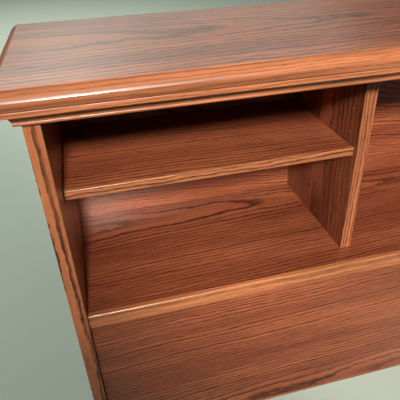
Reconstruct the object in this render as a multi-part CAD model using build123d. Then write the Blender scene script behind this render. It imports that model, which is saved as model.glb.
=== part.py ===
from build123d import *
import os

# A wide oak desk hutch: two outer bays with a loose shelf each, an open middle bay, a deep
# plain panel under the bays, and side panels that run down as legs to the desk.
#
# Frame: millimetres, +Z up, front towards -Y, X to the right. The origin is the middle of the
# footprint, on the desk: the centre of the bounding box, at its bottom.

# --- driving sizes -------------------------------------------------------------------------

side_bay_width = 420.0  # clear width of each outer bay
centre_bay_width = 608.0  # clear width of the middle bay
case_depth = 292.0  # front edges of the sides to their rear edges
open_height = 450.0  # clear height between the desk and the lower panel
lower_panel_height = 291.0
bay_height = 330.0  # bay floor to the underside of the top

board = 19.0  # sides, dividers, lower panel, rail and stretcher
floor_thickness = 25.0
top_thickness = 21.0
back_thickness = 16.0
shelf_thickness = 13.5
edging = 6.0  # solid strip glued to the front edge of a veneered board
arris = 1.5  # rounding along the edges of a solid strip

top_overhang = 15.0  # veneered top beyond the case, at the front and both ends
top_edging_width = 13.8  # moulded strip round the top
top_edging_lip = 3.4  # undercut of the strip's lower edge
crown_share = 0.47  # height of the strip's widest line, as a share of the top's thickness
cornice_height = 22.5
cornice_width = 23.5

back_inset = 1.0  # back panel in front of the rear edges of the sides
divider_setback = 54.0  # front edges, behind those of the sides
shelf_setback = 60.0
nosing_setback = 14.0
nosing_width = 8.0
panel_behind_nosing = 1.0
panel_side_gap = 1.0
panel_edging = 8.0
stretcher_height = 95.0
cleat = 19.0
cleat_chamfer = 5.0
cleat_foot_gap = 12.0  # foot of an upright cleat, above the foot of the lower panel

shelf_top_height = 185.0  # above the bay floor
shelf_end_gap = 1.25
shelf_back_gap = 1.5
running_gap = 0.3  # between a loose shelf and the pins that carry it
pin_pitch = 36.0
pin_holes_beyond = 2  # spare holes above and below the ones in use
pin_front_setback = 76.0  # front row, behind the front edges of the sides
pin_rear_setback = 52.0  # rear row, in front of the back panel
pin_radius = 2.5
pin_depth = 8.0
collar_radius = 4.0
collar_thickness = 0.8
spoon_length = 11.0
spoon_thickness = 2.2

housing = 6.0  # how far a board is let into the face of another
rebate = 8.0  # for the back panel, in the inner face of a side
tongue = 6.0  # thickness and length of a tongue
tongue_setback = 24.0  # front end of the tongue on a side, behind the side's front edge
tenon = 8.0  # thickness of a tenon
tenon_length = 11.0
tenon_shoulder = 4.0  # step above and below a tenon
fit_gap = 0.1  # round a pin, tongue or tenon
spare_depth = 1.0  # a hole, groove or mortise deeper than what is in it
desk_hole_radius = 4.0
desk_hole_depth = 20.0
desk_hole_spacing = 192.0

# --- sizes worked out ----------------------------------------------------------------------

inner_width = 2 * side_bay_width + 2 * board + centre_bay_width
case_width = inner_width + 2 * board
overhang = top_overhang + top_edging_width
front = overhang - (case_depth + overhang) / 2
rear = front + case_depth
back_front = rear - back_inset - back_thickness
floor_front = front + nosing_setback + nosing_width
floor_bottom = open_height + lower_panel_height
floor_z = floor_bottom + floor_thickness
top_z = floor_z + bay_height
shelf_z = floor_z + shelf_top_height - shelf_thickness
pin_z = shelf_z - running_gap - pin_radius
divider_x = (centre_bay_width + board) / 2
divider_front = front + divider_setback
side_x = (case_width - board) / 2
panel_front = front + nosing_setback + panel_behind_nosing
cleat_front = panel_front + board
stretcher_middle = rear - back_inset - board / 2
rail_tenon_y = front + edging + tenon
hands = (("left", -1), ("right", 1))


# --- shared shapes -------------------------------------------------------------------------


def span(x, y, z):
    """A plain board between two places along each axis."""
    size = [high - low for low, high in (x, y, z)]
    middle = [(high + low) / 2 for low, high in (x, y, z)]
    return Pos(*middle) * Box(*size)


def around(middle, width):
    """The two ends of a width about its middle."""
    return middle - width / 2, middle + width / 2


def inner_side(hand, depth):
    """From the inner face of a side to a depth in it, low end first."""
    face = hand * inner_width / 2
    return tuple(sorted((face, face + hand * depth)))


def eased_strip(x, y, z, along):
    """A solid strip whose two long front edges are rounded."""
    strip = span(x, y, z)
    front_edges = strip.edges().filter_by(along).group_by(Axis.Y)[0]
    return fillet(front_edges, arris)


def closed(*outline):
    """The face inside a closed outline of lines and arcs."""
    return make_face([edge for piece in outline for edge in piece.edges()])


def moulding(profile, start, outward, length):
    """A run of moulding: the profile's x is outward and its y is up."""
    run = Vector(*outward).cross(Vector(0, 0, 1))
    return extrude(Plane(origin=start, x_dir=outward, z_dir=run) * profile, length)


def peg(place, direction, behind, ahead, radius):
    """A round peg that crosses a face at place."""
    start = Vector(*place) - Vector(*direction) * behind
    seat = (Align.CENTER, Align.CENTER, Align.MIN)
    return Plane(origin=start, z_dir=direction) * Cylinder(radius, behind + ahead, align=seat)


# --- the top and its mouldings -------------------------------------------------------------


def top_edging_profile():
    """Rounded nosing with a crisp arris at its widest line and a tongue at the back."""
    crown = (top_edging_width, crown_share * top_thickness)
    shoulder = (0.576 * top_edging_width, 0.818 * top_thickness)
    lip = (top_edging_width - top_edging_lip, 0)
    low_tongue, high_tongue = around(top_thickness / 2, tongue)
    return closed(
        ThreePointArc((0, top_thickness), shoulder, crown),
        TangentArc(crown, lip, tangent=(0, -1)),
        Polyline(
            lip,
            (0, 0),
            (0, low_tongue),
            (-tongue, low_tongue),
            (-tongue, high_tongue),
            (0, high_tongue),
            (0, top_thickness),
        ),
    )


def cornice_profile():
    """Fillet over a cove, with a bead along the bottom."""
    bead_foot = (5.4, 0)
    bead_top = (7.2, 3.8)
    cove_foot = (7.6, 4.6)
    fillet_foot = (cornice_width, cornice_height - 7.2)
    cove_head = (cornice_width - 1.2, cornice_height - 7.2)
    ease = 1.6
    return closed(
        Line((0, 0), bead_foot),
        ThreePointArc(bead_foot, (7.5, 1.5), bead_top),
        Line(bead_top, cove_foot),
        TangentArc(cove_foot, cove_head, tangent=(0.18, 1)),
        Polyline(
            cove_head,
            fillet_foot,
            (cornice_width, cornice_height - ease),
            (cornice_width - ease, cornice_height),
            (0, cornice_height),
            (0, 0),
        ),
    )


def mitred_set(profile, out, z):
    """Front run and two returns of a moulding, mitred at the corners, out from the case."""
    reach = 60.0
    half = case_width / 2 + out
    face_y = front - out
    front_run = moulding(profile, (half + reach, face_y, z), (0, -1, 0), 2 * (half + reach))
    pieces = {}
    for name, hand in hands:
        mitre = Plane(origin=(hand * half, face_y, z), z_dir=(-hand, -1, 0))
        front_run = split(front_run, bisect_by=mitre, keep=Keep.TOP)
        start_y = face_y - reach if hand < 0 else rear
        start = (hand * half, start_y, z)
        end_run = moulding(profile, start, (hand, 0, 0), rear - face_y + reach)
        pieces[name] = split(end_run, bisect_by=mitre, keep=Keep.BOTTOM)
    pieces["front"] = front_run
    return pieces


def edging_groove():
    """Groove round the front and ends of the top for the edging's tongue."""
    z = around(top_z + top_thickness / 2, tongue + 2 * fit_gap)
    beyond = 1.0
    low_y = front - top_overhang
    outer_width = case_width + 2 * top_overhang
    depth = tongue + spare_depth
    outer = span(around(0, outer_width + 2 * beyond), (low_y - beyond, rear + beyond), z)
    core = span(around(0, outer_width - 2 * depth), (low_y + depth, rear + beyond), z)
    return outer - core


def side_tongue(hand, gap=0.0, spare=0.0):
    """Tongue on the upper end of a side, or with a gap and spare depth its groove."""
    return span(
        around(hand * side_x, tongue + 2 * gap),
        (front + tongue_setback, back_front),
        (top_z, top_z + tongue - spare_depth + spare),
    )


def divider_housing(hand, z):
    """Where a divider is let into the top or the bay floor."""
    return span(around(hand * divider_x, board), (divider_front + edging, back_front), z)


def top_panel():
    """Veneered top, over the sides, the dividers, the rail and the back."""
    panel = span(
        around(0, case_width + 2 * top_overhang),
        (front - top_overhang, rear),
        (top_z, top_z + top_thickness),
    )
    grooves = [edging_groove()]
    for _, hand in hands:
        grooves.append(side_tongue(hand, fit_gap, spare_depth))
        grooves.append(divider_housing(hand, (top_z, top_z + housing)))
    return panel - grooves


def rail_tenon(hand, gap=0.0, spare=0.0):
    """Tenon on an end of the front rail, or with a gap and spare depth its mortise."""
    return span(
        inner_side(hand, tenon_length + spare),
        around(rail_tenon_y, tenon + 2 * gap),
        around(top_z - cornice_height / 2, cornice_height - 2 * tenon_shoulder + 2 * gap),
    )


def top_rail():
    """Rail across the front, under the top and behind the cornice."""
    rail = span(around(0, inner_width), (front, front + board), (top_z - cornice_height, top_z))
    return rail + [rail_tenon(hand) for _, hand in hands]


# --- the uprights --------------------------------------------------------------------------


def pin_rows():
    """Depths of the two rows of shelf pins."""
    return front + pin_front_setback, back_front - pin_rear_setback


def pin_holes(face_x, into):
    """Holes for shelf pins in one face of an upright."""
    steps = range(-pin_holes_beyond, pin_holes_beyond + 1)
    places = [(face_x, y, pin_z + step * pin_pitch) for y in pin_rows() for step in steps]
    depth = pin_depth + spare_depth
    return [peg(place, (into, 0, 0), spare_depth, depth, pin_radius + fit_gap) for place in places]


def desk_holes(hand):
    """Holes in the foot of a side for the dowels or bolts that hold the hutch to its desk."""
    rows = around((front + rear) / 2, desk_hole_spacing)
    places = [(hand * side_x, y, 0) for y in rows]
    return [
        peg(place, (0, 0, 1), spare_depth, desk_hole_depth, desk_hole_radius) for place in places
    ]


def side_panel(hand):
    """Veneered side with its tongue, housings, mortises, rebate and holes."""
    panel = span(around(hand * side_x, board), (front + edging, rear), (0, top_z))
    floor_housing = span(
        inner_side(hand, housing), (floor_front, back_front), (floor_bottom, floor_z)
    )
    back_rebate = span(inner_side(hand, rebate), (back_front, rear), (floor_bottom, top_z))
    cuts = [floor_housing, back_rebate]
    cuts.append(rail_tenon(hand, fit_gap, spare_depth))
    cuts.append(stretcher_tenon(hand, fit_gap, spare_depth))
    cuts += pin_holes(hand * inner_width / 2, hand)
    cuts += desk_holes(hand)
    return panel + side_tongue(hand) - cuts


def side_edging(hand):
    return eased_strip(
        around(hand * side_x, board), (front, front + edging), (0, top_z), Axis.Z
    )


def divider(hand):
    """Veneered divider between an outer bay and the middle bay, let in at both ends."""
    panel = divider_housing(hand, (floor_z - housing, top_z + housing))
    return panel - pin_holes(hand * (divider_x + board / 2), -hand)


def divider_edging(hand):
    return eased_strip(
        around(hand * divider_x, board),
        (divider_front, divider_front + edging),
        (floor_z, top_z),
        Axis.Z,
    )


# --- the bay floor and the panel under it --------------------------------------------------


def bay_floor():
    """Veneered floor of the bays, let into both sides and housing both dividers."""
    panel = span(
        around(0, inner_width + 2 * housing), (floor_front, back_front), (floor_bottom, floor_z)
    )
    return panel - [divider_housing(hand, (floor_z - housing, floor_z)) for _, hand in hands]


def floor_nosing_profile():
    """Eased top edge, a shallow cove in the face and a rounded foot."""
    deep = nosing_width
    tall = floor_thickness
    top_round = 3.0
    foot_round = 2.6
    cove_foot = 7.2
    cove_head = tall - 4.2
    cove_depth = 1.9
    return closed(
        Line((0, tall), (deep - top_round, tall)),
        TangentArc((deep - top_round, tall), (deep, tall - top_round), tangent=(1, 0)),
        Line((deep, tall - top_round), (deep, cove_head)),
        SagittaArc((deep, cove_head), (deep, cove_foot), -cove_depth),
        Line((deep, cove_foot), (deep, foot_round)),
        TangentArc((deep, foot_round), (deep - foot_round, 0), tangent=(0, -1)),
        Polyline((deep - foot_round, 0), (0, 0), (0, tall)),
    )


def floor_nosing():
    start = (inner_width / 2, floor_front, floor_bottom)
    return moulding(floor_nosing_profile(), start, (0, -1, 0), inner_width)


def lower_panel():
    """Deep veneered panel under the bays, all in one width."""
    return span(
        around(0, inner_width - 2 * panel_side_gap),
        (panel_front, panel_front + board),
        (open_height + panel_edging, floor_bottom),
    )


def lower_panel_edging():
    return eased_strip(
        around(0, inner_width - 2 * panel_side_gap),
        (panel_front, panel_front + board),
        (open_height, open_height + panel_edging),
        Axis.X,
    )


def upright_cleat(hand):
    """Chamfered cleat in the corner between a side and the lower panel."""
    strip = span(
        inner_side(hand, -cleat),
        (cleat_front, cleat_front + cleat),
        (open_height + cleat_foot_gap, floor_bottom - cleat),
    )
    rear_edges = strip.edges().filter_by(Axis.Z).group_by(Axis.Y)[-1]
    exposed = rear_edges.sort_by(Axis.X)[0 if hand > 0 else -1]
    return chamfer(exposed, cleat_chamfer)


def long_cleat():
    """Chamfered cleat in the corner between the bay floor and the lower panel."""
    strip = span(
        around(0, inner_width),
        (cleat_front, cleat_front + cleat),
        (floor_bottom - cleat, floor_bottom),
    )
    rear_edges = strip.edges().filter_by(Axis.X).group_by(Axis.Y)[-1]
    return chamfer(rear_edges.sort_by(Axis.Z)[0], cleat_chamfer)


# --- the back ------------------------------------------------------------------------------


def back_panel():
    """Veneered back of the bays, in the rebates of the sides and behind the bay floor."""
    return span(
        around(0, inner_width + 2 * (rebate - fit_gap)),
        (back_front, back_front + back_thickness),
        (floor_bottom, top_z),
    )


def stretcher_tenon(hand, gap=0.0, spare=0.0):
    """Tenon on an end of the rear stretcher, or with a gap and spare depth its mortise."""
    return span(
        inner_side(hand, tenon_length + spare),
        around(stretcher_middle, tenon + 2 * gap),
        around(
            open_height + stretcher_height / 2,
            stretcher_height - 2 * tenon_shoulder + 2 * gap,
        ),
    )


def rear_stretcher():
    """Rail between the sides at the rear, level with the foot of the lower panel."""
    rail = span(
        around(0, inner_width),
        around(stretcher_middle, board),
        (open_height, open_height + stretcher_height),
    )
    return rail + [stretcher_tenon(hand) for _, hand in hands]


# --- the loose shelves and their pins ------------------------------------------------------


def bay_middle(hand):
    return hand * (inner_width - side_bay_width) / 2


def shelf_span():
    return side_bay_width - 2 * shelf_end_gap


def shelf(hand):
    return span(
        around(bay_middle(hand), shelf_span()),
        (front + shelf_setback + edging, back_front - shelf_back_gap),
        (shelf_z, shelf_z + shelf_thickness),
    )


def shelf_edging(hand):
    return eased_strip(
        around(bay_middle(hand), shelf_span()),
        (front + shelf_setback, front + shelf_setback + edging),
        (shelf_z, shelf_z + shelf_thickness),
        Axis.X,
    )


def shelf_pin(face_x, y, away):
    """Spoon pin: a shank in the upright, a thin collar and a flat spoon under the shelf."""
    place = (face_x, y, pin_z)
    out = (away, 0, 0)
    shank = peg(place, out, pin_depth, collar_thickness, pin_radius)
    collar = peg(place, out, 0, collar_thickness, collar_radius)
    straight = collar_thickness + spoon_length - collar_radius
    spoon = Rectangle(straight, 2 * collar_radius, align=(Align.MIN, Align.CENTER))
    spoon += Pos(straight, 0) * Circle(collar_radius)
    seat = Plane(origin=(face_x, y, pin_z + pin_radius), x_dir=out, z_dir=(0, 0, -1))
    return shank + collar + extrude(seat * spoon, spoon_thickness)


def shelf_pins(hand):
    """Four pins that carry one shelf."""
    pins = []
    for wall in (-1, 1):
        face_x = bay_middle(hand) + wall * side_bay_width / 2
        pins += [shelf_pin(face_x, y, -wall) for y in pin_rows()]
    return Compound(children=[pin.solid() for pin in pins])


# --- write every piece ---------------------------------------------------------------------


def save(name, shape):
    export_step(shape, os.path.join("parts", name + ".step"))


def main():
    os.makedirs("parts", exist_ok=True)
    save("top_panel", top_panel())
    for place, piece in mitred_set(top_edging_profile(), top_overhang, top_z).items():
        save("top_edging_" + place, piece)
    for place, piece in mitred_set(cornice_profile(), 0.0, top_z - cornice_height).items():
        save("cornice_" + place, piece)
    save("top_rail", top_rail())
    for name, hand in hands:
        save(name + "_side", side_panel(hand))
        save(name + "_side_edging", side_edging(hand))
        save(name + "_divider", divider(hand))
        save(name + "_divider_edging", divider_edging(hand))
        save(name + "_shelf", shelf(hand))
        save(name + "_shelf_edging", shelf_edging(hand))
        save(name + "_shelf_pins", shelf_pins(hand))
        save(name + "_panel_cleat", upright_cleat(hand))
    save("bay_floor", bay_floor())
    save("floor_nosing", floor_nosing())
    save("lower_panel", lower_panel())
    save("lower_panel_edging", lower_panel_edging())
    save("long_panel_cleat", long_cleat())
    save("back_panel", back_panel())
    save("rear_stretcher", rear_stretcher())


main()
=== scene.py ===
"""Finish of a wide oak desk hutch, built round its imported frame.

Smooth mouldings, rounded edgings, shelf pins and screws are modelled here, and every board gets
its own oak. Metres, +Z up, front towards -Y, origin in the middle of the footprint.
"""

import math
from collections import namedtuple

import bmesh
import bpy
from bpy.props import FloatProperty, FloatVectorProperty, IntProperty, PointerProperty
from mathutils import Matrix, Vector


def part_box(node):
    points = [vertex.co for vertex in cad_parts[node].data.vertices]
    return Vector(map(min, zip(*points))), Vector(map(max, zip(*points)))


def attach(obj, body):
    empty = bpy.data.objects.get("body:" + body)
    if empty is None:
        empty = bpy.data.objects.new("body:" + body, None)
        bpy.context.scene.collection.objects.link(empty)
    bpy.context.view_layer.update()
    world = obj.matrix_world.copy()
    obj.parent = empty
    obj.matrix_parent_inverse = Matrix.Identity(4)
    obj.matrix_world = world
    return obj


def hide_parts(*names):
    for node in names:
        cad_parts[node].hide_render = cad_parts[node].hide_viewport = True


bl_info = {
    "name": "Oak desk hutch",
    "version": (1, 0, 0),
    "blender": (4, 5, 0),
    "location": "View3D > Sidebar > Hutch",
    "description": "Mouldings, edgings, fittings, oak finishes and studio for a wide desk hutch",
    "category": "Object",
}

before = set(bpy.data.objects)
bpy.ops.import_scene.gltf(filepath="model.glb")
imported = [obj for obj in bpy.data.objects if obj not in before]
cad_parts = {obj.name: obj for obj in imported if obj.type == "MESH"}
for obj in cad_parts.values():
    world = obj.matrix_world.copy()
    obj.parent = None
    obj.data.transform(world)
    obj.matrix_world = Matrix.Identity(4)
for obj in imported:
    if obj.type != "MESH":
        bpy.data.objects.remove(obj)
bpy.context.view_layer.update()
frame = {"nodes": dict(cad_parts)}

MM = 0.001
QUARTER = math.pi / 2
LEFT, RIGHT = -1, 1
HANDS = (("left", LEFT), ("right", RIGHT))


# --- sizes read from the frame -------------------------------------------------------------


def low(node):
    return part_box(node)[0]


def high(node):
    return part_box(node)[1]


def middle(node):
    return (low(node) + high(node)) / 2


def size_of(node):
    return high(node) - low(node)


CASE_HALF = high("right_side").x
CASE_FRONT = low("left_side_edging").y
CASE_REAR = high("left_side").y
INNER_HALF = high("floor_nosing").x
TOP_BOTTOM = low("top_edging_front").z
TOP_HEIGHT = size_of("top_edging_front").z
TOP_HALF = high("top_panel").x
TOP_FRONT = low("top_panel").y
EDGING_WIDTH = high("top_edging_right").x - TOP_HALF
CORNICE_BOTTOM = low("cornice_front").z
CORNICE_HEIGHT = size_of("cornice_front").z
CORNICE_WIDTH = high("cornice_right").x - CASE_HALF


# --- settings ------------------------------------------------------------------------------


class HutchShapes(bpy.types.PropertyGroup):
    """Sizes of what is modelled here"""

    arris: FloatProperty(
        name="Arris",
        description="Rounding of the long front edges of the solid strips",
        default=1.5 * MM,
        min=0.2 * MM,
        unit="LENGTH",
    )
    crown_arris: FloatProperty(
        name="Crown arris",
        description="Rounding of the widest line of the top's moulded edging",
        default=1.1 * MM,
        min=0.1 * MM,
        unit="LENGTH",
    )
    fine_arris: FloatProperty(
        name="Fine arris",
        description="Rounding of the small edges of a moulding",
        default=0.4 * MM,
        min=0.05 * MM,
        unit="LENGTH",
    )
    arc_steps: IntProperty(
        name="Arc steps",
        description="Facets in each curve of a moulding",
        default=14,
        min=4,
    )
    screw_radius: FloatProperty(
        name="Screw head radius",
        description="Radius of the screw heads in the back panel and the cleats",
        default=3.6 * MM,
        unit="LENGTH",
    )
    screw_height: FloatProperty(
        name="Screw head height",
        description="How far the screw heads in the back panel stand out",
        default=0.8 * MM,
        unit="LENGTH",
    )


class HutchFinish(bpy.types.PropertyGroup):
    """Colours and gloss of the oak"""

    light: FloatVectorProperty(
        name="Light oak",
        description="Stained oak between the growth rings",
        subtype="COLOR",
        default=(0.36, 0.103, 0.043),
        min=0.0,
        max=1.0,
    )
    deep: FloatVectorProperty(
        name="Deep oak",
        description="Darker patches of the stained oak",
        subtype="COLOR",
        default=(0.235, 0.058, 0.025),
        min=0.0,
        max=1.0,
    )
    solid: FloatVectorProperty(
        name="Solid strips",
        description="Golden tint of the solid mouldings and edgings",
        subtype="COLOR",
        default=(0.50, 0.175, 0.066),
        min=0.0,
        max=1.0,
    )
    line: FloatVectorProperty(
        name="Ring lines",
        description="Early wood, where the stain gathers",
        subtype="COLOR",
        default=(0.07, 0.017, 0.008),
        min=0.0,
        max=1.0,
    )
    pore: FloatVectorProperty(
        name="Pores",
        description="Open pores filled with stain",
        subtype="COLOR",
        default=(0.02, 0.007, 0.004),
        min=0.0,
        max=1.0,
    )
    core: FloatVectorProperty(
        name="Board core",
        description="Raw core at the edges of a veneered board",
        subtype="COLOR",
        default=(0.27, 0.18, 0.105),
        min=0.0,
        max=1.0,
    )
    roughness: FloatProperty(
        name="Roughness",
        description="Roughness of the satin varnish",
        default=0.36,
        min=0.0,
        max=1.0,
        subtype="FACTOR",
    )


class HutchStudio(bpy.types.PropertyGroup):
    """Camera and lights"""

    lens: FloatProperty(
        name="Lens",
        description="Focal length of the camera",
        default=41.05,
        min=10.0,
    )
    key_power: FloatProperty(
        name="Key light",
        description="Power of the light in front on the left",
        default=610.0,
        min=0.0,
        unit="POWER",
    )
    key_spread: FloatProperty(
        name="Key spread",
        description="Full angle of the key light's cone",
        default=math.radians(83.0),
        min=math.radians(10.0),
        subtype="ANGLE",
    )
    sheen_power: FloatProperty(
        name="Sheen light",
        description="Power of the wide light behind, which the top reflects",
        default=24.0,
        min=0.0,
        unit="POWER",
    )
    wash_power: FloatProperty(
        name="Floor wash",
        description="Power of the light over the far floor",
        default=250.0,
        min=0.0,
        unit="POWER",
    )
    side_power: FloatProperty(
        name="Side lights",
        description="Power of each of the two lights that show the ends",
        default=40.0,
        min=0.0,
        unit="POWER",
    )
    overhead: FloatProperty(
        name="Overhead",
        description="Strength of the even light from straight above",
        default=0.20,
        min=0.0,
    )
    horizon: FloatProperty(
        name="Horizon",
        description="Strength of the even light from the sides and below",
        default=0.025,
        min=0.0,
    )
    floor_colour: FloatVectorProperty(
        name="Floor",
        description="Colour of the plain floor",
        subtype="COLOR",
        default=(0.42, 0.455, 0.40),
        min=0.0,
        max=1.0,
    )


def shapes():
    return bpy.context.scene.hutch_shapes


def finish():
    return bpy.context.scene.hutch_finish


def studio():
    return bpy.context.scene.hutch_studio


# --- modelling tools -----------------------------------------------------------------------


def start_clean():
    """Leaves edit mode and deselects everything."""
    if bpy.context.object and bpy.context.object.mode != "OBJECT":
        bpy.ops.object.mode_set(mode="OBJECT")
    bpy.ops.object.select_all(action="DESELECT")


def named(name):
    """Names the object just added and puts its place into its mesh."""
    piece = bpy.context.object
    piece.name = name
    piece.data.name = name
    bpy.ops.object.transform_apply(location=True, rotation=True, scale=True)
    return piece


def block(name, corner, far_corner):
    """A squared blank between two corners, left in edit mode."""
    start_clean()
    centre = (corner + far_corner) / 2
    bpy.ops.mesh.primitive_cube_add(size=1.0, location=centre, scale=far_corner - corner)
    piece = named(name)
    bpy.ops.object.mode_set(mode="EDIT")
    return piece


def select(kind, test):
    """Selects the corners, edges or faces (VERT, EDGE or FACE) that pass a test."""
    bpy.ops.mesh.select_mode(type=kind)
    bpy.ops.mesh.select_all(action="DESELECT")
    mesh = bmesh.from_edit_mesh(bpy.context.object.data)
    for part in {"VERT": mesh.verts, "EDGE": mesh.edges, "FACE": mesh.faces}[kind]:
        part.select_set(test(part))
    mesh.select_flush_mode()
    bmesh.update_edit_mesh(bpy.context.object.data)


def select_edges(test):
    """Selects the edges whose two ends pass a test of their place."""
    select("EDGE", lambda edge: all(test(corner.co) for corner in edge.verts))


def near(value, target, slack=0.02 * MM):
    return abs(value - target) < slack


def ease(radius, steps):
    """Rounds the selected edges."""
    bpy.ops.mesh.bevel(offset=radius, segments=steps, profile=0.5, affect="EDGES")


def done(piece, body, slot, *nodes, crease=32.0):
    """Closes a piece's mesh, smooths it, and seats it on its body in place of its nodes."""
    bpy.ops.object.mode_set(mode="EDIT")
    bpy.ops.mesh.select_all(action="SELECT")
    bpy.ops.mesh.remove_doubles(threshold=0.002 * MM)
    bpy.ops.mesh.normals_make_consistent(inside=False)
    bpy.ops.object.mode_set(mode="OBJECT")
    bpy.ops.object.shade_smooth_by_angle(angle=math.radians(crease))
    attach(piece, body)
    if nodes:
        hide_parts(*nodes)
    return piece


class Outline:
    """A section drawn by extruding and spinning one point, then run out as a solid.

    Its points are (outward, up) from an origin; the run goes along outward x up.
    """

    def __init__(self, name, origin, outward, start):
        self.origin = Vector(origin)
        self.outward = Vector(outward)
        self.along = self.outward.cross(Vector((0, 0, 1)))
        self.point = start
        start_clean()
        bpy.ops.mesh.primitive_plane_add(size=MM, location=self.place(start))
        self.piece = named(name)
        bpy.ops.object.mode_set(mode="EDIT")
        bpy.ops.mesh.select_mode(type="VERT")
        bpy.ops.mesh.select_all(action="SELECT")
        bpy.ops.mesh.merge(type="CENTER")

    def place(self, point):
        return self.origin + self.outward * point[0] + Vector((0, 0, point[1]))

    def line(self, *points):
        """Straight strokes to each point in turn."""
        for point in points:
            step = self.place(point) - self.place(self.point)
            bpy.ops.mesh.extrude_region_move(TRANSFORM_OT_translate={"value": step})
            self.point = point

    def arc(self, via, end):
        """An arc through a point to its end. Spin counts its angle the other way round."""
        centre = circle_centre(self.point, via, end)
        turn = angle_about(centre, self.point, via) + angle_about(centre, via, end)
        bpy.ops.mesh.spin(
            steps=shapes().arc_steps,
            angle=-turn,
            center=self.place(centre),
            axis=self.along,
        )
        self.point = end

    def run(self, length):
        """Closes the outline and runs it out."""
        bpy.ops.mesh.select_all(action="SELECT")
        bpy.ops.mesh.remove_doubles(threshold=0.01 * MM)
        bpy.ops.mesh.edge_face_add()
        step = self.along * length
        bpy.ops.mesh.extrude_region_move(TRANSFORM_OT_translate={"value": step})
        bpy.ops.mesh.select_all(action="SELECT")
        bpy.ops.mesh.normals_make_consistent(inside=False)

    def ease_at(self, points, radius, steps):
        """Rounds the long edges that stand at these points of the section."""
        corners = [self.place(point) for point in points]

        def on_a_corner(place):
            offsets = [place - corner for corner in corners]
            across = [offset - self.along * offset.dot(self.along) for offset in offsets]
            return any(offset.length < 0.05 * MM for offset in across)

        select_edges(on_a_corner)
        ease(radius, steps)


def circle_centre(a, b, c):
    """Centre of the circle through three points of a section."""
    (ax, ay), (bx, by), (cx, cy) = a, b, c
    twice = 2 * (ax * (by - cy) + bx * (cy - ay) + cx * (ay - by))
    aa, bb, cc = ax**2 + ay**2, bx**2 + by**2, cx**2 + cy**2
    x = (aa * (by - cy) + bb * (cy - ay) + cc * (ay - by)) / twice
    y = (aa * (cx - bx) + bb * (ax - cx) + cc * (bx - ax)) / twice
    return x, y


def angle_about(centre, start, end):
    """Signed turn from one point to another, from outward towards up."""
    first = math.atan2(start[1] - centre[1], start[0] - centre[0])
    second = math.atan2(end[1] - centre[1], end[0] - centre[0])
    return (second - first + math.pi) % (2 * math.pi) - math.pi


def cut(place, normal):
    """Cuts the solid in edit mode by a plane, keeps the side behind it and caps the cut."""
    bpy.ops.mesh.select_mode(type="VERT")
    bpy.ops.mesh.select_all(action="SELECT")
    bpy.ops.mesh.bisect(plane_co=place, plane_no=normal, clear_outer=True)
    bpy.ops.mesh.select_all(action="DESELECT")
    bpy.ops.mesh.select_non_manifold()
    bpy.ops.mesh.edge_face_add()


def united(piece, tool, operation):
    """Joins a tool object to a piece, or cuts it away, and removes the tool."""
    start_clean()
    piece.select_set(True)
    bpy.context.view_layer.objects.active = piece
    change = piece.modifiers.new("shape", "BOOLEAN")
    change.operation = operation
    change.solver = "EXACT"
    change.object = tool
    bpy.ops.object.modifier_apply(modifier=change.name)
    bpy.data.objects.remove(tool, do_unlink=True)
    return piece


def copies(pattern, name, spots):
    """One piece made of a copy of the pattern at each (place, turn about Z); drops the pattern."""
    made = []
    for place, turn in spots:
        start_clean()
        pattern.select_set(True)
        bpy.context.view_layer.objects.active = pattern
        bpy.ops.object.duplicate(linked=False)
        copy = bpy.context.object
        copy.location = place
        copy.rotation_euler = (0.0, 0.0, turn)
        bpy.ops.object.transform_apply(location=True, rotation=True, scale=True)
        made.append(copy)
    start_clean()
    for copy in made:
        copy.select_set(True)
    bpy.context.view_layer.objects.active = made[0]
    bpy.ops.object.join()
    bpy.data.objects.remove(pattern, do_unlink=True)
    return named(name)


def disc(name, place, radius, depth, rotation, corners=40):
    """A short round blank, left in edit mode."""
    start_clean()
    bpy.ops.mesh.primitive_cylinder_add(
        vertices=corners, radius=radius, depth=depth, location=place, rotation=rotation
    )
    piece = named(name)
    bpy.ops.object.mode_set(mode="EDIT")
    return piece


# --- shader tools --------------------------------------------------------------------------


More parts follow.
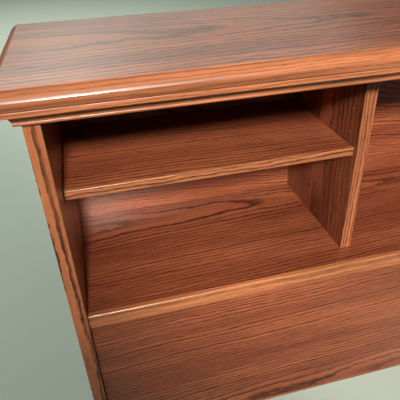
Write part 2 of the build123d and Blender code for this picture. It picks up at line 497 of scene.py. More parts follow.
class Graph:
    """Adds nodes to a tree, linking what is given as a socket and setting the rest."""

    def __init__(self, tree):
        self.tree = tree
        tree.nodes.clear()

    def set(self, socket, value):
        if isinstance(value, bpy.types.NodeSocket):
            self.tree.links.new(value, socket)
        else:
            socket.default_value = value

    def node(self, kind, inputs=None, **settings):
        made = self.tree.nodes.new("ShaderNode" + kind)
        for name, value in settings.items():
            setattr(made, name, value)
        for name, value in (inputs or {}).items():
            self.set(made.inputs[name], value)
        return made

    def math(self, operation, *values, clamp=False):
        made = self.node("Math", operation=operation, use_clamp=clamp)
        for socket, value in zip(made.inputs, values):
            self.set(socket, value)
        return made.outputs[0]

    def vector(self, operation, first, second):
        made = self.node("VectorMath", operation=operation)
        self.set(made.inputs[0], first)
        self.set(made.inputs[1], second)
        return made.outputs[0]

    def noise(self, place, per_metre, detail=1.0):
        """A noise with this many features a metre along each axis."""
        inputs = {"Vector": self.vector("MULTIPLY", place, per_metre), "Scale": 1.0, "Detail": detail}
        return self.node("TexNoise", inputs).outputs

    def shifted(self, vector, amount, direction):
        """The vector moved by an amount along a direction."""
        step = self.node("VectorMath", operation="SCALE")
        step.inputs[0].default_value = direction
        self.set(step.inputs["Scale"], amount)
        return self.vector("ADD", vector, step.outputs[0])

    def smooth(self, value, start, end, low_value=0.0, high_value=1.0):
        inputs = {"Value": value, "From Min": start, "From Max": end}
        inputs.update({"To Min": low_value, "To Max": high_value})
        made = self.node("MapRange", inputs, interpolation_type="SMOOTHSTEP")
        return made.outputs["Result"]

    def mix(self, factor, first, second, blend="MIX"):
        made = self.node("Mix", data_type="RGBA", blend_type=blend)
        by_name = {socket.identifier: socket for socket in made.inputs}
        self.set(by_name["Factor_Float"], factor)
        self.set(by_name["A_Color"], first)
        self.set(by_name["B_Color"], second)
        return next(s for s in made.outputs if s.identifier == "Result_Color")


def new_group(name, inputs, outputs):
    """An empty shader node group with these inputs (name: value) and outputs (names)."""
    tree = bpy.data.node_groups.new(name, "ShaderNodeTree")
    graph = Graph(tree)
    for socket_name, value in inputs.items():
        kind = "NodeSocketVector" if value is None else "NodeSocketFloat"
        socket = tree.interface.new_socket(socket_name, in_out="INPUT", socket_type=kind)
        if value is not None:
            socket.default_value = value
    for socket_name in outputs:
        tree.interface.new_socket(socket_name, in_out="OUTPUT", socket_type="NodeSocketFloat")
    entry = tree.nodes.new("NodeGroupInput")
    result = tree.nodes.new("NodeGroupOutput")
    return graph, entry.outputs, result.inputs


def placed(graph, group_name, inputs):
    """A node of a group that was built before."""
    made = graph.tree.nodes.new("ShaderNodeGroup")
    made.node_tree = bpy.data.node_groups[group_name]
    for name, value in inputs.items():
        graph.set(made.inputs[name], value)
    return made.outputs


def build_growth_group():
    """Growth rings round a pith, with pores, in a board's own directions.

    Vector is metres along the grain, across the face and out of it. The pith runs along the
    grain at Pith Across and Pith Depth, and leaves the face at Taper.
    """
    inputs = {
        "Vector": None,
        "Pith Across": 0.0,
        "Pith Depth": -0.04,
        "Ring Width": 0.004,
        "Taper": 0.02,
        "Wander": 0.02,
        "Seed": 0.0,
    }
    graph, entry, result = new_group("Oak growth", inputs, ("Lines", "Pores", "Tone", "Fibre"))
    place = graph.shifted(entry["Vector"], entry["Seed"], (1.0, 0.73, 0.61))

    slow = graph.noise(place, (1.3, 4.0, 4.0), detail=2.0)
    drift = graph.vector("SUBTRACT", slow["Color"], (0.5, 0.5, 0.5))
    spread = graph.node("VectorMath", operation="SCALE")
    graph.set(spread.inputs[0], drift)
    graph.set(spread.inputs["Scale"], entry["Wander"])
    moved = graph.vector("ADD", entry["Vector"], spread.outputs[0])
    parts = graph.node("SeparateXYZ", {"Vector": moved}).outputs

    across = graph.math("SUBTRACT", parts["Y"], entry["Pith Across"])
    depth = graph.math("SUBTRACT", parts["Z"], entry["Pith Depth"])
    squares = graph.math("ADD", graph.math("POWER", across, 2.0), graph.math("POWER", depth, 2.0))
    radius = graph.math("SQRT", squares)
    radius = graph.math("ADD", radius, graph.math("MULTIPLY", parts["X"], entry["Taper"]))

    wave = graph.noise(place, (9.0, 22.0, 22.0), detail=2.0)
    ragged = graph.noise(place, (55.0, 150.0, 150.0), detail=2.0)
    count = graph.math("DIVIDE", radius, entry["Ring Width"])
    count = graph.math("MULTIPLY_ADD", wave["Fac"], 1.7, count)
    count = graph.math("MULTIPLY_ADD", ragged["Fac"], 0.55, count)
    uneven = graph.node("TexNoise", {"Scale": 0.37, "Detail": 0.0}, noise_dimensions="1D")
    graph.set(uneven.inputs["W"], count)
    count = graph.math("MULTIPLY_ADD", uneven.outputs["Fac"], 0.9, count)

    phase = graph.math("FRACT", count)
    start = graph.smooth(phase, 0.0, 0.07)
    fade = graph.smooth(phase, 0.14, 0.55, 1.0, 0.0)
    band = graph.math("MULTIPLY", start, fade)
    years = graph.node("TexWhiteNoise", noise_dimensions="1D")
    graph.set(years.inputs["W"], graph.math("ADD", graph.math("FLOOR", count), entry["Seed"]))
    strength = graph.smooth(years.outputs["Value"], 0.0, 1.0, 0.6, 1.0)
    calm = graph.noise(place, (2.1, 15.0, 15.0))
    strong = graph.smooth(calm["Fac"], 0.34, 0.56, 0.6, 1.0)
    streak = graph.noise(place, (9.0, 170.0, 170.0), detail=2.0)
    broken = graph.smooth(streak["Fac"], 0.3, 0.5, 0.65, 1.0)
    lines = graph.math("MULTIPLY", graph.math("MULTIPLY", band, strength), strong)
    graph.set(result["Lines"], graph.math("MULTIPLY", lines, broken))

    dashes = graph.noise(place, (70.0, 1300.0, 1300.0), detail=0.0)
    open_pores = graph.smooth(dashes["Fac"], 0.57, 0.66)
    flecks = graph.noise(place, (32.0, 360.0, 360.0), detail=0.0)
    rows = graph.math("MULTIPLY", graph.smooth(flecks["Fac"], 0.55, 0.7), 0.55)
    share = graph.math("MULTIPLY_ADD", band, 0.75, 0.25)
    pores = graph.math("MULTIPLY", graph.math("MAXIMUM", open_pores, rows), share)
    graph.set(result["Pores"], pores)

    cloud = graph.noise(place, (2.6, 19.0, 23.0))
    graph.set(result["Tone"], graph.smooth(cloud["Fac"], 0.3, 0.7))
    fibre = graph.noise(place, (14.0, 700.0, 700.0))
    fine = graph.math("MULTIPLY", graph.smooth(fibre["Fac"], 0.25, 0.75), 0.45)
    coarse = graph.smooth(streak["Fac"], 0.33, 0.67)
    graph.set(result["Fibre"], graph.math("MULTIPLY_ADD", coarse, 0.55, fine))


def build_wear_and_highlight_group():
    """Lighter outside arrises: stain wear, and also a painted highlight there, broken up by a noise.
    """
    inputs = {"Vector": None, "Radius": 0.0012}
    graph, entry, result = new_group("Edge wear and painted highlight", inputs, ("Wear And Highlight",))
    rounded = graph.node("Bevel", samples=6)
    graph.set(rounded.inputs["Radius"], entry["Radius"])
    true_normal = graph.node("NewGeometry").outputs["Normal"]
    dot = graph.node("VectorMath", operation="DOT_PRODUCT")
    graph.set(dot.inputs[0], rounded.outputs["Normal"])
    graph.set(dot.inputs[1], true_normal)
    bend = graph.smooth(dot.outputs["Value"], 0.995, 0.86)
    patches = graph.noise(entry["Vector"], (60.0, 60.0, 60.0))
    broken_up = graph.smooth(patches["Fac"], 0.35, 0.65, 0.25, 1.0)
    graph.set(result["Wear And Highlight"], graph.math("MULTIPLY", bend, broken_up))


def build_handling_group():
    """Faint smears and settled dust on a varnished face: a roughness shift and a dust mask."""
    graph, entry, result = new_group("Handling", {"Vector": None}, ("Smear", "Dust"))
    smear = graph.noise(entry["Vector"], (5.0, 9.0, 9.0), detail=3.0)
    graph.set(result["Smear"], graph.smooth(smear["Fac"], 0.3, 0.7))
    speck = graph.node("TexVoronoi", {"Scale": 26.0}, feature="F1", distance="EUCLIDEAN")
    graph.set(speck.inputs["Vector"], entry["Vector"])
    dot = graph.smooth(speck.outputs["Distance"], 0.022, 0.012)
    chosen = graph.node("SeparateColor", {"Color": speck.outputs["Color"]}).outputs[0]
    rare = graph.math("GREATER_THAN", chosen, 0.93)
    graph.set(result["Dust"], graph.math("MULTIPLY", dot, rare))


# --- finishes ------------------------------------------------------------------------------

# How a board lies: the turn that takes (along the grain, across the face, out of the face)
# to the frame's axes.
LAYS = {
    "flat": (0.0, 0.0, 0.0),
    "facing_front": (QUARTER, 0.0, 0.0),
    "upright": (0.0, -QUARTER, 0.0),
    "upright_facing_front": (QUARTER, -QUARTER, 0.0),
    "return": (0.0, 0.0, QUARTER),
}

DUST = (0.75, 0.70, 0.62, 1.0)

Grain = namedtuple(
    "Grain", "lay pith_across pith_depth ring_width taper wander seed contrast", defaults=(1.0,)
)


def oak(name, grain, centre, veneer_half=None, gloss=0.0, warmth=0.0):
    """Stained and varnished oak whose rings follow a board's own grain.

    Warmth leads from the boards' stain to the solid strips'. A veneered board has its raw core
    inside veneer_half of its middle plane.
    """
    settings = finish()
    material = bpy.data.materials.new(name)
    material.use_nodes = True
    graph = Graph(material.node_tree)
    coordinates = graph.node("TexCoord").outputs["Object"]
    inputs = {"Vector": coordinates, "Location": centre, "Rotation": LAYS[grain.lay]}
    local = graph.node("Mapping", inputs, vector_type="TEXTURE").outputs[0]
    growth = placed(
        graph,
        "Oak growth",
        {
            "Vector": local,
            "Pith Across": grain.pith_across,
            "Pith Depth": grain.pith_depth,
            "Ring Width": grain.ring_width,
            "Taper": grain.taper,
            "Wander": grain.wander,
            "Seed": grain.seed,
        },
    )
    handling = placed(graph, "Handling", {"Vector": local})
    # Arris mask: partly stain wear, partly a painted highlight along the edges.
    edge_wear_and_highlight = placed(graph, "Edge wear and painted highlight", {"Vector": local})["Wear And Highlight"]

    solid = Vector(settings.solid)
    light = Vector(settings.light).lerp(solid, warmth)
    deep = Vector(settings.deep).lerp(solid * 0.72, warmth)
    colour = graph.mix(growth["Tone"], (*light, 1.0), (*deep, 1.0))
    fibre = graph.math("MULTIPLY_ADD", growth["Fibre"], 0.5, 0.75)
    colour = graph.mix(1.0, colour, fibre, blend="MULTIPLY")
    lines = graph.math("MULTIPLY", growth["Lines"], grain.contrast, clamp=True)
    colour = graph.mix(lines, colour, (*settings.line, 1.0))
    pores = graph.math("MULTIPLY", growth["Pores"], 0.7 * grain.contrast, clamp=True)
    colour = graph.mix(pores, colour, (*settings.pore, 1.0))
    # Lighter arrises: stain wear, and also a painted highlight on every outside edge.
    pale_wear_and_highlight = Vector(settings.light) * 1.35
    colour = graph.mix(graph.math("MULTIPLY", edge_wear_and_highlight, 0.45), colour, (*pale_wear_and_highlight, 1.0))
    colour = graph.mix(graph.math("MULTIPLY", handling["Dust"], 0.8), colour, DUST)
    rough = graph.math("MULTIPLY_ADD", handling["Smear"], 0.09, settings.roughness - 0.05)
    rough = graph.math("MULTIPLY_ADD", growth["Pores"], 0.15, rough)
    hollow = graph.math("MULTIPLY_ADD", growth["Lines"], 0.35, growth["Pores"])
    height = graph.math("SUBTRACT", 1.0, hollow)
    if veneer_half is not None:
        colour, rough = raw_core(graph, local, veneer_half, colour, rough)

    bump = graph.node("Bump", {"Strength": 0.25, "Distance": 0.12 * MM, "Height": height})
    shader = graph.node(
        "BsdfPrincipled",
        {
            "Base Color": colour,
            "Roughness": rough,
            "IOR": 1.5,
            "Coat Weight": 0.3 + gloss,
            "Coat Roughness": 0.16,
            "Coat IOR": 1.5,
            "Normal": bump.outputs["Normal"],
        },
    )
    output = graph.node("OutputMaterial")
    graph.set(output.inputs["Surface"], shader.outputs[0])
    return material


def raw_core(graph, local, veneer_half, colour, rough):
    """Lays a pressed chip core between the two veneers of a board."""
    depth = graph.node("SeparateXYZ", {"Vector": local}).outputs["Z"]
    inside = graph.math("LESS_THAN", graph.math("ABSOLUTE", depth), veneer_half)
    chips = graph.node("TexVoronoi", {"Scale": 420.0, "Randomness": 1.0}, feature="F1")
    graph.set(chips.inputs["Vector"], graph.vector("MULTIPLY", local, (0.35, 0.35, 1.0)))
    tint = graph.node("SeparateColor", {"Color": chips.outputs["Color"]}).outputs[0]
    core = Vector(finish().core)
    pressed = graph.mix(tint, (*(core * 0.6), 1.0), (*(core * 1.25), 1.0))
    colour = graph.mix(inside, colour, pressed)
    rough = graph.math("MULTIPLY_ADD", inside, 0.45, rough)
    return colour, rough


def metal(name, colour, roughness):
    """Plated metal with fine scratches and a little tarnish."""
    material = bpy.data.materials.new(name)
    material.use_nodes = True
    graph = Graph(material.node_tree)
    place = graph.node("TexCoord").outputs["Object"]
    scratches = graph.noise(place, (900.0, 900.0, 5200.0), detail=3.0)
    tarnish = graph.noise(place, (260.0, 260.0, 260.0), detail=4.0)
    dull = graph.smooth(tarnish["Fac"], 0.42, 0.7)
    bright = (*colour, 1.0)
    dim = (*(Vector(colour) * 0.55), 1.0)
    rough = graph.math("MULTIPLY_ADD", scratches["Fac"], 0.14, roughness - 0.05)
    rough = graph.math("MULTIPLY_ADD", dull, 0.15, rough)
    bump = graph.node(
        "Bump",
        {"Strength": 0.12, "Distance": 0.05 * MM, "Height": scratches["Fac"]},
    )
    shader = graph.node(
        "BsdfPrincipled",
        {
            "Base Color": graph.mix(dull, bright, dim),
            "Metallic": 1.0,
            "Roughness": rough,
            "Normal": bump.outputs["Normal"],
        },
    )
    output = graph.node("OutputMaterial")
    graph.set(output.inputs["Surface"], shader.outputs[0])
    return material


def dress(piece, material):
    piece.data.materials.clear()
    piece.data.materials.append(material)


# --- operators: modelled pieces ------------------------------------------------------------


class HUTCH_OT_finishes(bpy.types.Operator):
    """Build the shader groups that the finishes share"""

    bl_idname = "hutch.finishes"
    bl_label = "Finish groups"

    def execute(self, context):
        build_growth_group()
        build_wear_and_highlight_group()
        build_handling_group()
        return {"FINISHED"}


def draw_top_edging(name, origin, outward, length):
    """Rounded nosing with a crisp arris at its widest line, square at the back."""
    width = EDGING_WIDTH
    tall = TOP_HEIGHT
    crown = (width, 0.47 * tall)
    lip = (width - 3.4 * MM, 0.0)
    section = Outline(name, origin, outward, (0.0, tall))
    section.arc((0.576 * width, 0.818 * tall), crown)
    under = under_arc(crown, lip)
    section.arc(under, lip)
    section.line((0.0, 0.0), (0.0, tall))
    section.run(length)
    section.ease_at([crown], shapes().crown_arris, 5)
    section.ease_at([lip], shapes().fine_arris, 3)
    return section.piece


def under_arc(crown, lip):
    """Middle of the arc that drops straight from the crown and turns in to the lip."""
    inward = crown[0] - lip[0]
    drop = crown[1] - lip[1]
    radius = (inward**2 + drop**2) / (2 * inward)
    half_turn = math.asin(drop / radius) / 2
    return crown[0] - radius * (1 - math.cos(half_turn)), crown[1] - radius * math.sin(half_turn)


def draw_cornice(name, origin, outward, length):
    """Fillet over a cove, with a bead along the bottom."""
    wide = CORNICE_WIDTH
    tall = CORNICE_HEIGHT
    bead_foot = (5.4 * MM, 0.0)
    bead_top = (7.2 * MM, 3.8 * MM)
    cove_foot = (7.6 * MM, 4.6 * MM)
    cove_head = (wide - 1.2 * MM, tall - 7.2 * MM)
    fillet_foot = (wide, tall - 7.2 * MM)
    fillet_head = (wide, tall - 1.6 * MM)
    quirk = (wide - 1.6 * MM, tall)
    section = Outline(name, origin, outward, (0.0, 0.0))
    section.line(bead_foot)
    section.arc((7.5 * MM, 1.5 * MM), bead_top)
    section.line(cove_foot)
    section.arc(cove_middle(cove_foot, cove_head), cove_head)
    section.line(fillet_foot, fillet_head, quirk, (0.0, tall), (0.0, 0.0))
    section.run(length)
    section.ease_at([fillet_foot, fillet_head, quirk], shapes().fine_arris, 3)
    section.ease_at([bead_foot], shapes().fine_arris, 3)
    return section.piece


def cove_middle(foot, head):
    """Middle of the cove's arc, which leaves its foot steeply and sweeps out to its head."""
    lean = Vector((0.18, 1.0)).normalized()
    chord = Vector(head) - Vector(foot)
    half_turn = lean.angle(chord)
    sagitta = chord.length / 2 * math.tan(half_turn / 2)
    inward = Vector((-chord.y, chord.x)).normalized()
    return tuple(Vector(foot) + chord / 2 + inward * sagitta)


def moulding_set(draw, node, half, front, height, gloss, seed):
    """A front run and two returns, mitred at the front corners and square at the rear."""
    reach = 0.06
    front_corner = {hand: Vector((hand * half, front, height)) for _, hand in HANDS}
    runs = []
    start = (half + reach, front, height)
    name = node + "_front_run"
    piece = draw(name, start, (0, -1, 0), 2 * (half + reach))
    for _, hand in HANDS:
        cut(front_corner[hand], (hand, 1, 0))
    runs.append((piece, node + "_front", "facing_front", seed))
    for side, hand in HANDS:
        name = f"{node}_{side}_run"
        origin_y = front - reach if hand == LEFT else CASE_REAR
        length = CASE_REAR - front + reach
        piece = draw(name, (hand * half, origin_y, height), (hand, 0, 0), length)
        cut(front_corner[hand], (-hand, -1, 0))
        runs.append((piece, f"{node}_{side}", "return", seed + 2 + hand))
    for piece, replaced, lay, own_seed in runs:
        done(piece, "case", "solid_oak", replaced)
        grain = Grain(lay, 0.06, -0.03, 0.0044, 0.006, 0.012, own_seed, 0.6)
        dress(piece, oak(piece.name, grain, middle(replaced), gloss=gloss, warmth=0.7))


class HUTCH_OT_top_edging(bpy.types.Operator):
    """Model the moulded edging round the top"""

    bl_idname = "hutch.top_edging"
    bl_label = "Top edging"

    def execute(self, context):
        moulding_set(draw_top_edging, "top_edging", TOP_HALF, TOP_FRONT, TOP_BOTTOM, 0.2, 11.0)
        return {"FINISHED"}


class HUTCH_OT_cornice(bpy.types.Operator):
    """Model the cornice under the top"""

    bl_idname = "hutch.cornice"
    bl_label = "Cornice"

    def execute(self, context):
        moulding_set(draw_cornice, "cornice", CASE_HALF, CASE_FRONT, CORNICE_BOTTOM, -0.2, 21.0)
        return {"FINISHED"}


class HUTCH_OT_floor_nosing(bpy.types.Operator):
    """Model the coved nosing along the front of the bay floor"""

    bl_idname = "hutch.floor_nosing"
    bl_label = "Floor nosing"

    def execute(self, context):
        node = "floor_nosing"
        deep = size_of(node).y
        tall = size_of(node).z
        top_round = 3.0 * MM
        foot_round = 2.6 * MM
        cove_foot = 7.2 * MM
        cove_head = tall - 4.2 * MM
        cove_depth = 1.9 * MM
        bend = 1 - math.sqrt(0.5)
        origin = (high(node).x, high(node).y, low(node).z)
        section = Outline("floor_nosing_run", origin, (0, -1, 0), (0.0, tall))
        section.line((deep - top_round, tall))
        section.arc(
            (deep - top_round * bend, tall - top_round * bend), (deep, tall - top_round)
        )
        section.line((deep, cove_head))
        section.arc((deep - cove_depth, (cove_head + cove_foot) / 2), (deep, cove_foot))
        section.line((deep, foot_round))
        section.arc((deep - foot_round * bend, foot_round * bend), (deep - foot_round, 0.0))
        section.line((0.0, 0.0), (0.0, tall))
        section.run(size_of(node).x)
        section.ease_at([(deep, cove_head), (deep, cove_foot)], shapes().fine_arris, 3)
        piece = done(section.piece, "case", "solid_oak", node)
        grain = Grain("facing_front", 0.03, -0.05, 0.006, 0.004, 0.01, 31.0, 0.4)
        dress(piece, oak(piece.name, grain, middle(node), gloss=0.1, warmth=1.0))
        return {"FINISHED"}


def strip(name, node, along, arris):
    """A squared strip whose two long front edges are rounded."""
    piece = block(name, *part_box(node))
    corner, far_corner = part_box(node)
    faces = {"x": (corner.z, far_corner.z), "z": (corner.x, far_corner.x)}[along]
    other = {"x": 2, "z": 0}[along]

    def on_front_edge(place):
        return near(place.y, corner.y) and any(near(place[other], face) for face in faces)

    def is_long(edge):
        step = edge.verts[0].co - edge.verts[1].co
        return abs(step["xyz".index(along)]) > 10 * arris

    select("EDGE", lambda edge: is_long(edge) and all(on_front_edge(v.co) for v in edge.verts))
    ease(arris, 6)
    return piece


class HUTCH_OT_upright_edgings(bpy.types.Operator):
    """Model the solid strips on the front edges of the sides and dividers"""

    bl_idname = "hutch.upright_edgings"
    bl_label = "Upright edgings"

    def execute(self, context):
        for side, hand in HANDS:
            for board, across, seed in (("side", 0.004, 41.0), ("divider", 0.03, 45.0)):
                node = f"{side}_{board}_edging"
                piece = strip(node + "_strip", node, "z", shapes().arris)
                done(piece, "case", "solid_oak", node)
                lay = "upright_facing_front"
                grain = Grain(lay, across, -0.01, 0.005, 0.006, 0.01, seed + hand, 1.2)
                dress(piece, oak(piece.name, grain, middle(node), warmth=0.6))
        return {"FINISHED"}


class HUTCH_OT_shelf_edgings(bpy.types.Operator):
    """Model the solid strip on the front edge of each loose shelf"""

    bl_idname = "hutch.shelf_edgings"
    bl_label = "Shelf edgings"

    def execute(self, context):
        for side, hand in HANDS:
            node = side + "_shelf_edging"
            piece = strip(node + "_strip", node, "x", shapes().arris)
            done(piece, side + "_shelf", "solid_oak", node)
            grain = Grain("facing_front", 0.03, -0.02, 0.0058, 0.004, 0.01, 51.0 + hand, 1.2)
            dress(piece, oak(piece.name, grain, middle(node), warmth=0.8))
        return {"FINISHED"}


class HUTCH_OT_panel_edging(bpy.types.Operator):
    """Model the solid strip along the foot of the lower panel"""

    bl_idname = "hutch.panel_edging"
    bl_label = "Panel edging"

    def execute(self, context):
        node = "lower_panel_edging"
        piece = strip(node + "_strip", node, "x", 2 * shapes().arris)
        done(piece, "case", "solid_oak", node)
        grain = Grain("facing_front", 0.02, -0.03, 0.005, 0.004, 0.008, 55.0, 0.5)
        dress(piece, oak(piece.name, grain, middle(node), warmth=0.5))
        return {"FINISHED"}


# --- operators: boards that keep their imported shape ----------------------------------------

VENEER = 0.6 * MM

# Veneered boards: how each lies and where its pith runs, in metres from the board's middle.
BOARDS = {
    "top_panel": Grain("flat", 0.02, -0.07, 0.0105, 0.05, 0.06, 3.0, 0.85),
    "bay_floor": Grain("flat", 0.078, -0.03, 0.0066, 0.035, 0.03, 7.0),
    "left_shelf": Grain("flat", -0.2, -0.08, 0.0065, 0.01, 0.02, 12.0),
    "right_shelf": Grain("flat", 0.16, -0.05, 0.0065, 0.01, 0.02, 13.0),
    "back_panel": Grain("facing_front", 0.085, -0.1, 0.0048, -0.075, 0.04, 15.0),
    "lower_panel": Grain("facing_front", -0.13, -0.05, 0.0064, -0.04, 0.03, 17.0, 1.1),
    "left_side": Grain("upright", 0.03, -0.06, 0.008, 0.02, 0.04, 19.0),
    "right_side": Grain("upright", -0.04, 0.05, 0.008, 0.02, 0.04, 23.0),
    "left_divider": Grain("upright", -0.02, -0.05, 0.0075, 0.015, 0.03, 25.0),
    "right_divider": Grain("upright", 0.03, 0.06, 0.0075, 0.015, 0.03, 27.0),
}
PLAIN_BOARDS = {
    "rear_stretcher": Grain("facing_front", 0.02, -0.04, 0.006, 0.01, 0.02, 61.0, 0.8),
    "long_panel_cleat": Grain("facing_front", 0.03, -0.03, 0.005, 0.004, 0.01, 63.0, 0.8),
    "left_panel_cleat": Grain("upright", 0.03, -0.03, 0.005, 0.004, 0.01, 65.0, 0.8),
    "right_panel_cleat": Grain("upright", 0.03, -0.03, 0.005, 0.004, 0.01, 67.0, 0.8),
}
RAIL = Grain("facing_front", 0.03, -0.05, 0.005, 0.005, 0.01, 71.0)


class HUTCH_OT_boards(bpy.types.Operator):
    """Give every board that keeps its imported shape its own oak"""

    bl_idname = "hutch.boards"
    bl_label = "Board finishes"

    def execute(self, context):
        nodes = frame["nodes"]
        for node, grain in BOARDS.items():
            half = min(size_of(node)) / 2 - VENEER
            dress(nodes[node], oak(node + "_oak", grain, middle(node), veneer_half=half))
        for node, grain in PLAIN_BOARDS.items():
            dress(nodes[node], oak(node + "_oak", grain, middle(node), gloss=-0.25))
        dress(nodes["top_rail"], oak("top_rail_oak", RAIL, middle("top_rail")))
        return {"FINISHED"}


# --- operators: fittings -------------------------------------------------------------------


PIN_SHANK = 2.5 * MM
PIN_DEPTH = 8.0 * MM
PIN_COLLAR = 0.8 * MM
SPOON_REACH = 11.0 * MM
SPOON_HALF = 4.0 * MM
SPOON_THICKNESS = 2.2 * MM
PIN_EASE = 0.25 * MM
SPOON_EASE = 0.5 * MM


def draw_pin():
    """A spoon pin at the origin: shank towards -X, spoon towards +X with its face up."""
    collar_radius = size_of("left_shelf_pins").z / 2
    collar = disc("pin", (PIN_COLLAR / 2, 0, 0), collar_radius, PIN_COLLAR, (0, QUARTER, 0))
    select("FACE", lambda face: face.normal.x < -0.9)
    bpy.ops.mesh.inset(thickness=collar_radius - PIN_SHANK)
    bpy.ops.mesh.extrude_region_move(TRANSFORM_OT_translate={"value": (-PIN_DEPTH, 0, 0)})
    select_edges(lambda place: near(place.x, PIN_COLLAR) or near(place.x, -PIN_DEPTH))
    ease(PIN_EASE, 3)
    spoon_middle = PIN_SHANK - SPOON_THICKNESS / 2
    tip = SPOON_REACH - SPOON_HALF
    spoon = disc("spoon", (tip, 0, spoon_middle), SPOON_HALF, SPOON_THICKNESS, (0, 0, 0))
    select("VERT", lambda corner: corner.co.x < tip + 0.01 * MM)
    centre = (tip, 0, spoon_middle)
    bpy.ops.transform.resize(value=(0, 1, 1), center_override=centre)
    bpy.ops.transform.translate(value=(PIN_COLLAR / 2 - tip, 0, 0))
    for level in (PIN_SHANK, PIN_SHANK - SPOON_THICKNESS):
        select_edges(lambda place: near(place.z, level) and place.x > PIN_COLLAR)
        ease(SPOON_EASE, 4)
    bpy.ops.object.mode_set(mode="OBJECT")
    return united(collar, spoon, "UNION")


class HUTCH_OT_shelf_pins(bpy.types.Operator):
    """Model the four spoon pins under each loose shelf"""

    bl_idname = "hutch.shelf_pins"
    bl_label = "Shelf pins"

    def execute(self, context):
        nickel = metal("nickel_pin_metal", (0.62, 0.60, 0.56), 0.28)
        for side, _ in HANDS:
            node = side + "_shelf_pins"
            collar_radius = size_of(node).z / 2
            rows = (low(node).y + collar_radius, high(node).y - collar_radius)
            faces = (low(node).x + PIN_DEPTH, high(node).x - PIN_DEPTH)
            turned_faces = tuple(zip(faces, (0.0, math.pi)))
            height = middle(node).z
            spots = [(Vector((x, row, height)), turn) for row in rows for x, turn in turned_faces]
            piece = copies(draw_pin(), node + "_set", spots)
            dress(done(piece, "case", "nickel_pin", node), nickel)
        return {"FINISHED"}


def draw_screw():
    """A low round screw head with a cross recess, at the origin and facing +Y."""
    radius = shapes().screw_radius
    tall = shapes().screw_height
    head = disc("screw", (0, tall / 2, 0), radius, tall, (QUARTER, 0, 0), corners=28)
    select_edges(lambda place: near(place.y, tall))
    ease(0.6 * tall, 4)
    bpy.ops.object.mode_set(mode="OBJECT")
    for turn in (0.0, QUARTER):
        start_clean()
        bpy.ops.mesh.primitive_cube_add(
            size=1.0,
            location=(0, tall, 0),
            rotation=(0, turn, 0),
            scale=(1.15 * radius, 1.1 * tall, 0.22 * radius),
        )
        named("recess")
        united(head, bpy.context.object, "DIFFERENCE")
    return head


def between(start, end, count):
    """Evenly spaced values, ends included."""
    return [start + (end - start) * step / (count - 1) for step in range(count)]


SCREW_INSET = 30.0 * MM


def back_screw_places():
    """Round the back panel: into the sides, the dividers and the bay floor."""
    back = high("back_panel")
    floor_level = middle("bay_floor").z
    side_line = (INNER_HALF + back.x) / 2
    divider_line = middle("right_divider").x
    bay_middle = (side_line + divider_line) / 2
    columns = (-side_line, -divider_line, divider_line, side_line)
    levels = between(floor_level, back.z - SCREW_INSET, 4)
    along_floor = between(-divider_line, divider_line, 4)[1:-1] + [-bay_middle, bay_middle]
    places = [Vector((x, back.y, z)) for x in columns for z in levels]
    return places + [Vector((x, back.y, floor_level)) for x in along_floor]


def cleat_screw_places():
    """Along the three cleats behind the lower panel."""
    face = high("long_panel_cleat").y
    reach = 0.85 * INNER_HALF
    height = middle("long_panel_cleat").z
    places = [Vector((x, face, height)) for x in between(-reach, reach, 7)]
    for side, _ in HANDS:
        node = side + "_panel_cleat"
        levels = between(low(node).z + SCREW_INSET, high(node).z - SCREW_INSET, 3)
        places += [Vector((middle(node).x, face, z)) for z in levels]
    return places


class HUTCH_OT_screws(bpy.types.Operator):
    """Model the screws that hold the back panel and the cleats"""

    bl_idname = "hutch.screws"
    bl_label = "Screws"

    def execute(self, context):
        steel = metal("zinc_screw_metal", (0.50, 0.50, 0.47), 0.34)
        groups = {"back_screws": back_screw_places(), "cleat_screws": cleat_screw_places()}
        for name, places in groups.items():
            piece = copies(draw_screw(), name, [(place, 0.0) for place in places])
            dress(done(piece, "case", "nickel_pin"), steel)
        return {"FINISHED"}


# --- operators: studio ---------------------------------------------------------------------


class HUTCH_OT_stage(bpy.types.Operator):
    """Lay the floor, hang the lights and set the camera"""

    bl_idname = "hutch.stage"
    bl_label = "Studio"

    def execute(self, context):
        lay_floor()
        hang_lights()
        set_camera()
        return {"FINISHED"}


def lay_floor():
    """A wide plain floor under the hutch."""
    start_clean()
    bpy.ops.mesh.primitive_plane_add(size=30.0, location=(0, 0, 0))
    floor = named("studio_floor")
    material = bpy.data.materials.new("studio_floor_paint")
    material.use_nodes = True
    graph = Graph(material.node_tree)
    place = graph.node("TexCoord").outputs["Object"]
    mottle = graph.noise(place, (0.7, 0.7, 0.7), detail=3.0)
    colour = Vector(studio().floor_colour)
    soft = graph.mix(mottle["Fac"], (*(colour * 0.97), 1.0), (*(colour * 1.03), 1.0))
    shader = graph.node("BsdfPrincipled", {"Base Color": soft, "Roughness": 0.9})
    output = graph.node("OutputMaterial")
    graph.set(output.inputs["Surface"], shader.outputs[0])
    dress(floor, material)


def hang_lights():
    """A key in front on the left, a sheen light behind, a floor wash, two ends and a surround."""
    hang_key(Vector((-0.80, -2.40, 2.47)), Vector((0.74, CASE_FRONT, 2.0)))
    hang_disk(
        "sheen_light",
        Vector((0.4, 3.4, 3.2)),
        middle("top_panel"),
        4.0,
        studio().sheen_power,
        (0.86, 1.0, 0.90),
    )
    hang_disk(
        "floor_wash",
        Vector((-1.6, 5.0, 4.4)),
        Vector((-1.6, 5.0, 0.0)),
        3.0,
        studio().wash_power,
        (0.92, 1.0, 0.90),
    )
    for side, hand in HANDS:
        place = Vector((4.0 * hand, 0.6, 1.4))
        target = middle(side + "_side")
        hang_disk(side + "_light", place, target, 2.0, studio().side_power, (0.95, 1.0, 0.95))
    hang_surround()


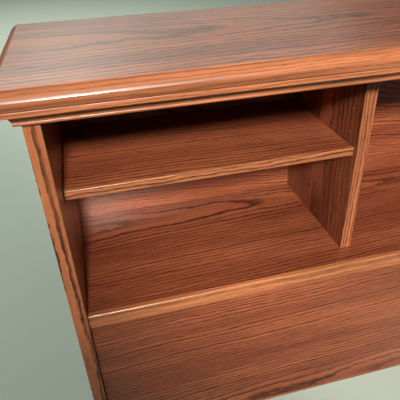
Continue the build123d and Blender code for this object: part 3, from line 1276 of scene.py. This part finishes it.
def hang_key(place, target):
    """A round lamp with a soft-edged cone."""
    start_clean()
    bpy.ops.object.light_add(type="SPOT", location=place)
    light = bpy.context.object
    light.name = "key_light"
    light.data.energy = studio().key_power
    light.data.color = (1.0, 0.93, 0.84)
    light.data.shadow_soft_size = 0.16
    light.data.spot_size = studio().key_spread
    light.data.spot_blend = 0.15
    light.rotation_euler = (target - place).to_track_quat("-Z", "Y").to_euler()
    light.visible_camera = False


def hang_disk(name, place, target, width, power, colour):
    """A flat round light."""
    start_clean()
    bpy.ops.object.light_add(type="AREA", location=place)
    light = bpy.context.object
    light.name = name
    light.data.shape = "DISK"
    light.data.size = width
    light.data.energy = power
    light.data.color = colour
    light.rotation_euler = (target - place).to_track_quat("-Z", "Y").to_euler()
    light.visible_camera = False


def hang_surround():
    """Even light that is strongest overhead."""
    world = bpy.data.worlds.new("studio_surround")
    bpy.context.scene.world = world
    world.use_nodes = True
    graph = Graph(world.node_tree)
    direction = graph.node("TexCoord").outputs["Generated"]
    height = graph.node("SeparateXYZ", {"Vector": direction}).outputs["Z"]
    strength = graph.smooth(height, 0.0, 1.0, studio().horizon, studio().overhead)
    inputs = {"Color": (0.80, 0.90, 0.84, 1.0), "Strength": strength}
    background = graph.node("Background", inputs)
    output = graph.node("OutputWorld")
    graph.set(output.inputs["Surface"], background.outputs[0])


def set_camera():
    """Stands left of the middle, above the left bay, and looks down into it."""
    left_bay_corner = Vector((-INNER_HALF, CASE_FRONT, high("bay_floor").z))
    offset = Vector((0.0590, -0.4748, 0.49245))
    tilt, roll, turn = (math.radians(angle) for angle in (57.13, 1.87, -14.25))
    start_clean()
    bpy.ops.object.camera_add(location=left_bay_corner + offset, rotation=(tilt, roll, turn))
    camera = bpy.context.object
    camera.name = "studio_camera"
    camera.data.lens = studio().lens
    camera.data.sensor_width = 36.0
    camera.data.clip_start = 0.01
    bpy.context.scene.camera = camera
    bpy.context.scene.view_settings.view_transform = "Standard"


# --- panel and registration ----------------------------------------------------------------

STEPS = (
    HUTCH_OT_finishes,
    HUTCH_OT_top_edging,
    HUTCH_OT_cornice,
    HUTCH_OT_floor_nosing,
    HUTCH_OT_upright_edgings,
    HUTCH_OT_shelf_edgings,
    HUTCH_OT_panel_edging,
    HUTCH_OT_boards,
    HUTCH_OT_shelf_pins,
    HUTCH_OT_screws,
    HUTCH_OT_stage,
)


class HUTCH_PT_panel(bpy.types.Panel):
    """Lists the steps that build the hutch"""

    bl_idname = "HUTCH_PT_panel"
    bl_label = "Desk hutch"
    bl_space_type = "VIEW_3D"
    bl_region_type = "UI"
    bl_category = "Hutch"

    def draw(self, context):
        for step in STEPS:
            self.layout.operator(step.bl_idname)


CLASSES = (HutchShapes, HutchFinish, HutchStudio, *STEPS, HUTCH_PT_panel)


def register():
    for one in CLASSES:
        bpy.utils.register_class(one)
    bpy.types.Scene.hutch_shapes = PointerProperty(type=HutchShapes)
    bpy.types.Scene.hutch_finish = PointerProperty(type=HutchFinish)
    bpy.types.Scene.hutch_studio = PointerProperty(type=HutchStudio)


def unregister():
    del bpy.types.Scene.hutch_studio
    del bpy.types.Scene.hutch_finish
    del bpy.types.Scene.hutch_shapes
    for one in reversed(CLASSES):
        bpy.utils.unregister_class(one)


def main():
    register()
    for step in STEPS:
        group, name = step.bl_idname.split(".")
        getattr(getattr(bpy.ops, group), name)()


if __name__ == "__main__":
    main()
